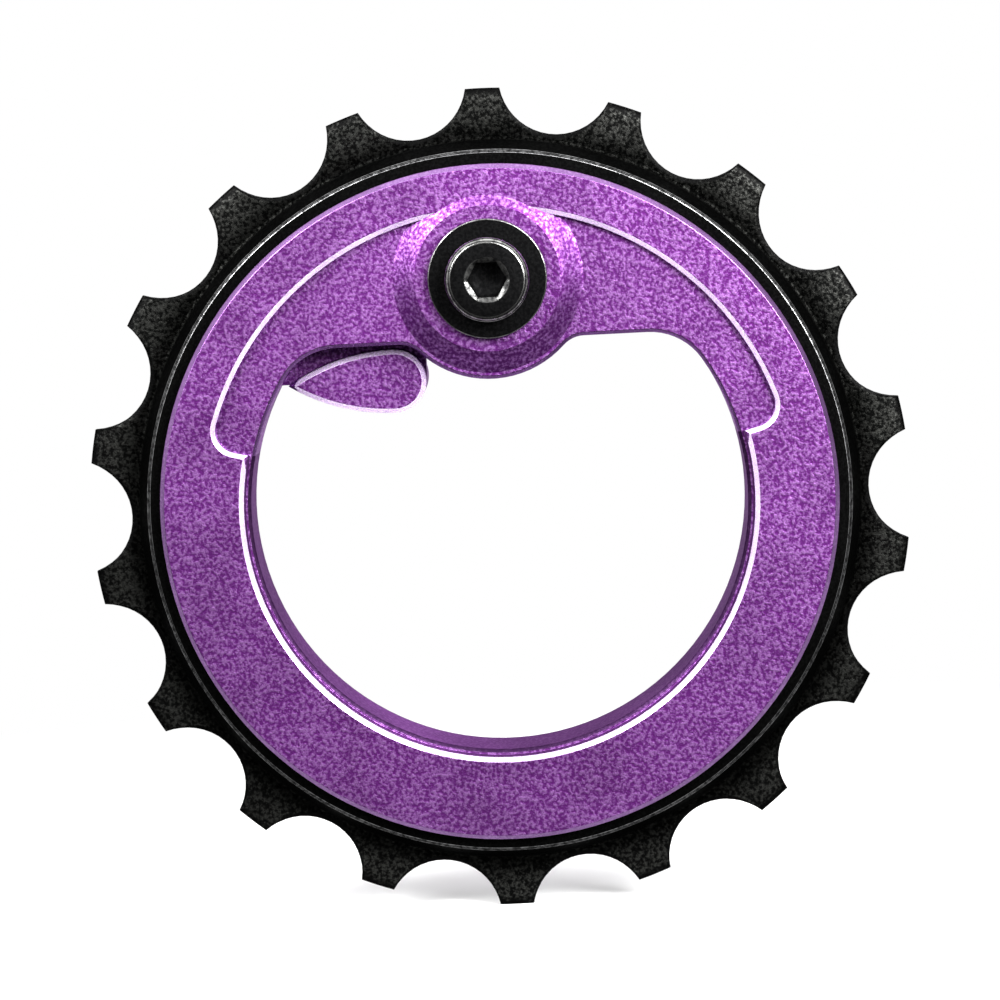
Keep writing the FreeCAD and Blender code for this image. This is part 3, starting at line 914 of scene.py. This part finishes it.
@dataclass
class Carrier:
    """Purple middle of the wheel, milled from one piece, with edges cut bright after anodising."""

    edge_round: float = 0.05 * MM
    sharp_angle: float = math.radians(22.0)
    cut_slope: float = math.sqrt(0.5)
    cut_slack: float = 0.03
    cut_width: float = 0.45 * MM
    rim_start: float = 29.0 * MM
    soft_above: float = 5.3 * MM
    bore_reach: float = 22.45 * MM
    bore_depth: float = 0.7 * MM
    bore_lean: float = 0.8
    edge_wear: float = 0.25
    bright_stations: tuple[float, ...] = (-4.2 * MM, -1.4 * MM, 6.7 * MM)

    def build(self) -> bmesh.types.BMesh:
        """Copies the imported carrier, tells its cut edges apart and rounds what is sharp.

        Returns:
            The carrier's mesh, with its kinds of surface as material numbers.
        """
        mesh = merged_copy("carrier")
        for face in mesh.faces:
            face.material_index = self.kind(face).value
        soften(mesh, self.edge_round, self.sharp_angle, self.edge_wear)
        return mesh

    def kind(self, face: bmesh.types.BMFace) -> CarrierFace:
        """Tells the narrow bevels from the blasted faces.

        Args:
            face: Face to judge.

        Returns:
            A bright cut for the bevels on the flange's face and on the lug's ends, a soft one for the
            flange's rim and along the bridge, a turned face for the round bore, and a darker one for
            the bore's front bevel, which is painted shade.
        """
        stations = [vert.co.y for vert in face.verts]
        reaches = [math.hypot(vert.co.x, vert.co.z) for vert in face.verts]
        leaning = abs(abs(face.normal.y) - self.cut_slope) < self.cut_slack
        bore = self.bore_reach - self.bore_depth < min(reaches) and max(reaches) < self.bore_reach
        # The bore's front bevel gets the darker finish: painted shade.
        if bore and abs(face.normal.y) < self.bore_lean and face.calc_center_median().z < self.soft_above:
            return CarrierFace.PAINTED_SHADE if leaning and face.normal.y < 0.0 else CarrierFace.TURNED
        if not leaning or max(stations) - min(stations) > self.cut_width:
            return CarrierFace.BLASTED
        on_rim = max(reaches) > self.rim_start
        ends = (min(stations), max(stations))
        bright = any(abs(end - mark) < NEAR for end in ends for mark in self.bright_stations)
        if bright and not on_rim:
            return CarrierFace.BRIGHT_CUT
        along_bridge = face.calc_center_median().z > self.soft_above
        return CarrierFace.SOFT_CUT if on_rim or along_bridge else CarrierFace.BLASTED

    def dress(self, finishes: dict[str, bpy.types.Material]) -> None:
        """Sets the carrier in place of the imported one."""
        looks = [finishes[look.name] for look in CARRIER_LOOKS]
        place_piece(self.build(), "carrier_milled", looks, Body.CARRIER, ["carrier"])


@dataclass
class Bearing:
    """Thin-section ball bearing: two races, two seals, and balls in a cage."""

    sizes: WheelSizes
    race_edge: float = 0.25 * MM
    seal_step: float = 0.65 * MM
    seal_inset: float = 0.3 * MM
    seal_thickness: float = 0.4 * MM
    seal_gap: float = 0.1 * MM
    seal_bead: float = 0.45 * MM
    seal_groove: float = 0.15 * MM
    ball_play: float = 0.04 * MM
    groove_steps: int = 10
    steps: int = 288
    soft_corner: float = 0.06 * MM

    def lathe(self) -> Lathe:
        """Lathe for the bearing's rings."""
        return Lathe(self.steps)

    def groove(self, land: float, cut: Cut) -> list[Corner]:
        """Ball groove between the two ends of a race's land, from front to rear.

        Args:
            land: Radius of the land.
            cut: Way in which the groove is cut into it.

        Returns:
            The corners of the round groove.
        """
        radius = self.sizes.ball_diameter / 2 + self.ball_play
        drop = abs(land - self.sizes.ball_circle)
        half = math.acos(drop / radius)
        turns = [half * (2 * step / self.groove_steps - 1) for step in range(self.groove_steps + 1)]
        middle = self.sizes.ball_circle
        return [Corner(middle + cut.value * radius * math.cos(turn), radius * math.sin(turn))
                for turn in turns]

    def outer_race(self) -> bmesh.types.BMesh:
        """Race in the toothed ring, with a step for a seal on each side.

        Returns:
            The race's mesh.
        """
        sizes, soft, edge = self.sizes, self.soft_corner, self.race_edge
        land = sizes.ball_circle + sizes.land_gap / 2
        step = land + self.seal_step
        face = sizes.bearing_face
        floor = face - self.seal_inset - self.seal_thickness
        out = sizes.race_out
        front = [
            Corner(land, -floor), Corner(step, -floor), Corner(step, -face, soft, EdgeWearAndPaintedLight.LIGHT),
            Corner(out - edge, -face, soft, EdgeWearAndPaintedLight.STRONG), Corner(out, edge - face, soft),
        ]
        return self.lathe().turn(mirrored(front) + self.groove(land, Cut.OUTWARDS)[::-1])

    def inner_race(self) -> bmesh.types.BMesh:
        """Race on the carrier's barrel.

        Returns:
            The race's mesh.
        """
        sizes, soft, edge = self.sizes, self.soft_corner, self.race_edge
        land = sizes.ball_circle - sizes.land_gap / 2
        face, bore = sizes.bearing_face, sizes.race_in
        rear = [Corner(land, face, soft, EdgeWearAndPaintedLight.LIGHT), Corner(bore + edge, face, soft, EdgeWearAndPaintedLight.STRONG),
                Corner(bore, face - edge, soft)]
        return self.lathe().turn(mirrored(rear) + self.groove(land, Cut.INWARDS))

    def seal(self, side: Side) -> bmesh.types.BMesh:
        """Seal with a beaded rim, a rib in its middle and a lip near the inner race.

        Args:
            side: Face of the wheel that the seal closes.

        Returns:
            The seal's mesh.
        """
        sizes, soft = self.sizes, self.soft_corner
        inner = sizes.ball_circle - sizes.land_gap / 2 + self.seal_gap
        outer = sizes.ball_circle + sizes.land_gap / 2 + self.seal_step - sizes.fit_gap
        face = sizes.bearing_face - self.seal_inset
        back = face - self.seal_thickness
        floor = face - self.seal_groove
        bead, slope = self.seal_bead, self.seal_groove
        middle = (inner + outer) / 2
        rib = bead / 3
        outline = [
            Corner(inner, back, soft), Corner(outer, back, soft), Corner(outer, face, soft, EdgeWearAndPaintedLight.SLIGHT),
            Corner(outer - bead, face, soft, EdgeWearAndPaintedLight.LIGHT), Corner(outer - bead - slope, floor, soft),
            Corner(middle + rib + slope, floor, soft), Corner(middle + rib, face, soft, EdgeWearAndPaintedLight.SLIGHT),
            Corner(middle - rib, face, soft, EdgeWearAndPaintedLight.SLIGHT), Corner(middle - rib - slope, floor, soft),
            Corner(inner + bead + slope, floor, soft), Corner(inner + bead, face, soft, EdgeWearAndPaintedLight.LIGHT),
            Corner(inner, face, soft, EdgeWearAndPaintedLight.SLIGHT),
        ]
        placed = [replace(corner, station=side.value * corner.station) for corner in outline]
        return self.lathe().turn(placed)

    def dress(self, finishes: dict[str, bpy.types.Material]) -> None:
        """Sets the races and seals in place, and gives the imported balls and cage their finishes.

        Args:
            finishes: Materials by name.
        """
        steel, rubber = finishes[BEARING_STEEL.name], finishes[SEAL_RUBBER.name]
        place_piece(self.outer_race(), "race_in_ring", [steel], Body.RING,
                    ["outer_race"])
        place_piece(self.inner_race(), "race_on_barrel", [steel], Body.CARRIER,
                    ["inner_race"])
        seals = ((Side.FRONT, "seal_front_lip", "front_seal"), (Side.REAR, "seal_rear_lip", "rear_seal"))
        for side, name, packed in seals:
            place_piece(self.seal(side), name, [rubber], Body.RING, [packed])
        for name, node in frame["nodes"].items():
            if name.startswith("ball_"):
                nylon = name == "ball_cage"
                dress_node(node, finishes[CAGE_NYLON.name] if nylon else steel)


def dress_node(node: bpy.types.Object, finish: bpy.types.Material) -> None:
    """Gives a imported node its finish.

    Args:
        node: Packed object, which keeps its mesh.
        finish: Its new material.
    """
    if node.material_slots:
        node.material_slots[0].material = finish
    else:
        node.data.materials.append(finish)
    LOG.info("%s: packed solid in %s", node.name, finish.name)


@dataclass
class SnapRing:
    """Split spring ring behind the inner race."""

    edge_round: float = 0.08 * MM
    sharp_angle: float = math.radians(30.0)

    def dress(self, finishes: dict[str, bpy.types.Material]) -> None:
        """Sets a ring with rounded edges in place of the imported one.

        Args:
            finishes: Materials by name.
        """
        mesh = merged_copy("snap_ring")
        soften(mesh, self.edge_round, self.sharp_angle, EdgeWearAndPaintedLight.HARD)
        place_piece(mesh, "snap_ring_sprung", [finishes[SPRING_STEEL.name]], Body.CARRIER,
                    ["snap_ring"])


@dataclass
class MountingBolt:
    """Socket-headed bolt with a cut thread, and its washer."""

    sizes: WheelSizes
    thread_diameter: float = 5.0 * MM
    thread_pitch: float = 0.8 * MM
    thread_depth: float = 0.43 * MM
    thread_play: float = 0.1 * MM
    crest_wear_and_highlight: float = 0.45
    ridge_slope: float = 2.4
    shank_diameter: float = 4.5 * MM
    tail: float = 3.2 * MM
    point: float = 0.4 * MM
    head_diameter: float = 7.3 * MM
    head_height: float = 2.4 * MM
    head_edge: float = 0.4 * MM
    socket_across: float = 3.0 * MM
    socket_depth: float = 1.6 * MM
    socket_chamfer: float = 0.2 * MM
    drill_depth: float = 0.35 * MM
    drill_share: float = 0.8
    washer_diameter: float = 10.4 * MM
    washer_thickness: float = 0.8 * MM
    washer_edge: float = 0.15 * MM
    steps: int = 96
    thread_rings: int = 12

    def build_bolt(self) -> bmesh.types.BMesh:
        """Turns the bolt, presses its socket into a hexagon and cuts its thread.

        Returns:
            The bolt's mesh.
        """
        seat = -self.sizes.hub_face - self.washer_thickness
        top = seat - self.head_height
        start = self.sizes.hub_face
        end = start + self.tail
        head, shank, thread = (size / 2 for size in
                               (self.head_diameter, self.shank_diameter, self.thread_diameter))
        mouth = self.socket_across / math.sqrt(3) + self.socket_chamfer
        socket = self.socket_across / 2
        floor = top + self.socket_depth
        soft = self.head_edge / 4
        # The head's rim and the socket's mouth take the light edge colour: partly scuffing, partly painted
        # highlight.
        outline = [
            Corner(0.0, floor + self.drill_depth), Corner(socket * self.drill_share, floor),
            Corner(socket, floor), Corner(socket, top + 2 * self.socket_chamfer),
            Corner(socket, top + self.socket_chamfer, 0.0, EdgeWearAndPaintedLight.SLIGHT),
            Corner(mouth, top, 0.0, EdgeWearAndPaintedLight.PLAIN), Corner(mouth + soft, top),
            Corner(head - self.head_edge, top, soft, EdgeWearAndPaintedLight.FULL),
            Corner(head - self.head_edge / 2, top + self.head_edge / 2, 0.0, EdgeWearAndPaintedLight.FULL),
            Corner(head, top + self.head_edge, soft, EdgeWearAndPaintedLight.FULL), Corner(head, seat, soft, EdgeWearAndPaintedLight.SLIGHT),
            Corner(shank, seat), Corner(shank, start),
        ]
        count = round(self.tail / self.thread_pitch * self.thread_rings)
        rings = [Corner(thread, start + self.tail * ring / count) for ring in range(count + 1)]
        outline += rings + [Corner(0.0, end)]
        mesh = Lathe(self.steps, self.sizes.hub_centre).turn(outline, closed=False)
        self.press_socket(mesh, top, floor)
        self.cut_thread(mesh, start, end)
        bmesh.ops.recalc_face_normals(mesh, faces=mesh.faces)
        return mesh

    def polar(self, vert: bmesh.types.BMVert) -> tuple[float, float]:
        """Finds a point's place round the bolt's axis.

        Args:
            vert: Point of the bolt.

        Returns:
            Its distance from the axis and its angle round it.
        """
        away = vert.co - self.sizes.hub_centre
        return math.hypot(away.x, away.z), math.atan2(away.z, away.x)

    def draw_out(self, vert: bmesh.types.BMVert, scale: float) -> None:
        """Moves a point straight away from the bolt's axis or towards it.

        Args:
            vert: Point to move.
            scale: New distance from the axis as a share of the old one.
        """
        middle = self.sizes.hub_centre
        vert.co.x = middle.x + (vert.co.x - middle.x) * scale
        vert.co.z = middle.z + (vert.co.z - middle.z) * scale

    def press_socket(self, mesh: bmesh.types.BMesh, top: float, floor: float) -> None:
        """Draws the round wall of the socket out to a hexagon.

        Args:
            mesh: Turned bolt.
            top: Station of the head's face.
            floor: Station of the socket's floor.
        """
        sector = math.tau / 6
        for vert in mesh.verts:
            reach, angle = self.polar(vert)
            in_socket = top + MERGE < vert.co.y < floor + MERGE
            if in_socket and abs(reach - self.socket_across / 2) < NEAR:
                self.draw_out(vert, 1.0 / math.cos(angle % sector - sector / 2))

    def cut_thread(self, mesh: bmesh.types.BMesh, start: float, end: float) -> None:
        """Cuts a right-handed thread into the bolt's tail.

        Args:
            mesh: Turned bolt.
            start: Station where the thread starts.
            end: Station of the bolt's end.
        """
        thread = self.thread_diameter / 2
        edge_share = mesh.verts.layers.float[EDGE_LAYER]
        for vert in mesh.verts:
            reach, angle = self.polar(vert)
            if vert.co.y < start - MERGE or reach < thread - NEAR:
                continue
            phase = ((vert.co.y - start) / self.thread_pitch + angle / math.tau) % 1.0
            ridge = min(1.0, self.ridge_slope * abs(phase - 0.5))
            depth = self.thread_depth * (1.0 - ridge)
            cone = max(0.0, vert.co.y - (end - self.point))
            # Light thread crests: partly scuffing, partly painted highlight.
            vert[edge_share] = self.crest_wear_and_highlight * ridge
            self.draw_out(vert, (thread - max(depth, cone)) / reach)

    def build_washer(self) -> bmesh.types.BMesh:
        """Turns the flat washer.

        Returns:
            The washer's mesh.
        """
        hole = self.thread_diameter / 2 + self.thread_play
        outer = self.washer_diameter / 2
        rear = -self.sizes.hub_face
        front = rear - self.washer_thickness
        edge = self.washer_edge
        outline = [Corner(hole, front, edge / 2, EdgeWearAndPaintedLight.LIGHT), Corner(outer, front, edge, EdgeWearAndPaintedLight.HARD),
                   Corner(outer, rear, edge / 2, EdgeWearAndPaintedLight.PLAIN), Corner(hole, rear)]
        return Lathe(self.steps, self.sizes.hub_centre).turn(outline)

    def dress(self, finishes: dict[str, bpy.types.Material]) -> None:
        """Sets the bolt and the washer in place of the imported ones.

        Args:
            finishes: Materials by name.
        """
        black = [finishes[BLACK_OXIDE.name]]
        place_piece(self.build_bolt(), "bolt_with_thread", black, Body.CARRIER,
                    ["mounting_bolt"])
        place_piece(self.build_washer(), "washer_turned", black, Body.CARRIER,
                    ["bolt_washer"])


@dataclass(frozen=True)
class Lamp:
    """Square soft lamp that points at the wheel.

    Args:
        name: Name of the lamp.
        place: Where it hangs.
        size: Length of its side.
        power: Power in watts.
    """

    name: str
    place: tuple[float, float, float]
    size: float
    power: float

    def hang(self) -> None:
        """Sets the lamp up, unseen by the camera."""
        data = bpy.data.lights.new(self.name, "AREA")
        data.size = self.size
        data.energy = self.power
        lamp = bpy.data.objects.new(self.name, data)
        lamp.location = self.place
        lamp.visible_camera = False
        lamp.rotation_euler = (-Vector(self.place)).to_track_quat("-Z", "Y").to_euler()
        bpy.context.scene.collection.objects.link(lamp)


@dataclass
class Studio:
    """Pale floor, soft lamps and the camera."""

    lamps: tuple[Lamp, ...] = (
        Lamp("key_lamp", (0.15, -0.17, 0.13), 0.16, 1.85),
        Lamp("side_lamp", (-0.16, -0.15, 0.17), 0.14, 1.3),
        Lamp("top_lamp", (0.02, -0.02, 0.46), 0.42, 0.65),
        Lamp("rear_lamp", (0.18, 0.40, 0.26), 0.30, 0.7),
    )
    white: Colour = (1.0, 1.0, 1.0, 1.0)
    floor_colour: Colour = (0.93, 0.93, 0.93, 1.0)
    floor_rough: float = 0.9
    floor_specular: float = 0.1
    floor_steps: int = 96
    floor_radius: float = 6.0
    clear_from: float = 0.05
    clear_to: float = 0.13
    floor_fade: tuple[float, float] = (-0.022, -0.002)
    floor_mirrored: tuple[float, float] = (0.05, 0.9)
    front_light: float = 0.27
    rear_light: float = 0.3
    rear_span: tuple[float, float] = (-0.2, 0.5)
    left_span: tuple[float, float] = (1.1, 0.2)
    strip_light: float = 0.9
    strip_half: float = 0.4
    azimuth: float = math.radians(1.0)
    elevation: float = math.radians(6.0)
    roll: float = math.radians(3.0)
    lens: float = 135.0
    sensor: float = 36.0
    fill: float = 0.82
    clip_near: float = 0.01
    clip_far: float = 24.0

    def floor(self) -> None:
        """Lays a round floor under the wheel that turns plain white away from it."""
        mesh = bmesh.new()
        bmesh.ops.create_circle(mesh, cap_ends=True, cap_tris=False, segments=self.floor_steps,
                                radius=self.floor_radius)
        bmesh.ops.translate(mesh, verts=mesh.verts, vec=(0.0, 0.0, CAD_BOX[0].z))
        data = bpy.data.meshes.new("floor")
        mesh.to_mesh(data)
        mesh.free()
        data.materials.append(self.floor_finish())
        floor = bpy.data.objects.new("floor", data)
        bpy.context.scene.collection.objects.link(floor)

    def floor_finish(self) -> bpy.types.Material:
        """Pale matt floor that takes the wheel's shadow and is white further off.

        Returns:
            The material.
        """
        made = bpy.data.materials.new("pale_floor")
        made.use_nodes = True
        nodes = NodeTree(made.node_tree)
        shader = made.node_tree.nodes["Principled BSDF"]
        shader.inputs["Roughness"].default_value = self.floor_rough
        shader.inputs["Specular IOR Level"].default_value = self.floor_specular
        shader.inputs["Base Color"].default_value = self.floor_colour
        where = nodes.add("ShaderNodeTexCoord").outputs["Object"]
        reach = nodes.add("ShaderNodeVectorMath", {"operation": "LENGTH"})
        nodes.put(reach.inputs[0], where)
        far = nodes.span(reach.outputs["Value"], self.clear_from, self.clear_to)
        path = nodes.add("ShaderNodeLightPath").outputs
        seen = nodes.math("MAXIMUM", path["Is Camera Ray"], path["Is Transmission Ray"])
        along = nodes.add("ShaderNodeSeparateXYZ", Vector=where).outputs["Y"]
        in_metal = nodes.span(along, *self.floor_fade, *self.floor_mirrored)
        white = nodes.add("ShaderNodeEmission", Strength=nodes.math("MAXIMUM", seen, in_metal))
        share = nodes.math("MAXIMUM", path["Is Glossy Ray"], nodes.math("MULTIPLY", far, seen))
        blend = nodes.add("ShaderNodeMixShader", Fac=share)
        nodes.put(blend.inputs[1], shader.outputs["BSDF"])
        nodes.put(blend.inputs[2], white.outputs["Emission"])
        nodes.put(made.node_tree.nodes["Material Output"].inputs["Surface"], blend.outputs["Shader"])
        return made

    def world(self) -> None:
        """Soft light all round, with a strip from the left over the top, that the camera sees as white."""
        world = bpy.data.worlds.new("studio")
        bpy.context.scene.world = world
        world.use_nodes = True
        nodes = NodeTree(world.node_tree)
        where = nodes.add("ShaderNodeTexCoord").outputs["Generated"]
        way = nodes.add("ShaderNodeSeparateXYZ", Vector=where).outputs
        rear = nodes.span(way["Y"], *self.rear_span, self.front_light, self.front_light + self.rear_light)
        strip = nodes.span(nodes.math("ABSOLUTE", way["Y"]), self.strip_half, 0.0, 0.0, self.strip_light)
        leftward = nodes.span(way["X"], *self.left_span)
        light = nodes.math("ADD", rear, nodes.math("MULTIPLY", strip, leftward))
        path = nodes.add("ShaderNodeLightPath").outputs
        seen = nodes.math("MAXIMUM", path["Is Camera Ray"], path["Is Transmission Ray"])
        ground = world.node_tree.nodes["Background"]
        nodes.put(ground.inputs["Strength"], nodes.math("MAXIMUM", light, seen))
        ground.inputs["Color"].default_value = self.white

    def camera(self) -> None:
        """Sets the camera in front of the wheel, a little above and to the right."""
        data = bpy.data.cameras.new("camera")
        data.lens = self.lens
        data.sensor_width = self.sensor
        width = max(CAD_BOX[1].x - CAD_BOX[0].x, CAD_BOX[1].z - CAD_BOX[0].z)
        distance = width / self.fill * self.lens / self.sensor
        level = math.cos(self.elevation)
        back = Vector((math.sin(self.azimuth) * level, -math.cos(self.azimuth) * level,
                       math.sin(self.elevation)))
        camera = bpy.data.objects.new("camera", data)
        camera.location = (CAD_BOX[0] + CAD_BOX[1]) / 2 + back * distance
        level_view = (-back).to_track_quat("-Z", "Y")
        camera.rotation_euler = (level_view @ Quaternion((0.0, 0.0, 1.0), -self.roll)).to_euler()
        data.clip_start = distance * self.clip_near
        data.clip_end = self.clip_far
        bpy.context.scene.collection.objects.link(camera)
        bpy.context.scene.camera = camera

    def build(self) -> None:
        """Sets up the whole studio."""
        bpy.context.scene.view_settings.view_transform = "Standard"
        self.floor()
        self.world()
        for lamp in self.lamps:
            lamp.hang()
        self.camera()


def clear_scene() -> None:
    """Removes what Blender starts with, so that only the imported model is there."""
    packed = set(frame["nodes"].values()) | set(frame["bodies"].values())
    for thing in list(bpy.data.objects):
        if thing not in packed:
            bpy.data.objects.remove(thing)


def main() -> None:
    """Builds the wheel's pieces and the studio round them."""
    logging.basicConfig(level=logging.INFO, format="%(name)s: %(message)s")
    clear_scene()
    sizes = WheelSizes()
    effects = Effects()
    looks = [*CARRIER_LOOKS, BLACK_BLASTED, BLACK_TURNED, BEARING_STEEL, SEAL_RUBBER, CAGE_NYLON,
             SPRING_STEEL]
    finishes = {look.name: look.material(effects) for look in looks}
    finishes[BLACK_OXIDE.name] = BLACK_OXIDE.material(effects, sizes.hub_centre)
    for assembly in (ToothedRing(sizes), Bearing(sizes), Carrier(), SnapRing(), MountingBolt(sizes)):
        assembly.dress(finishes)
    Studio().build()


if __name__ == "__main__":
    main()
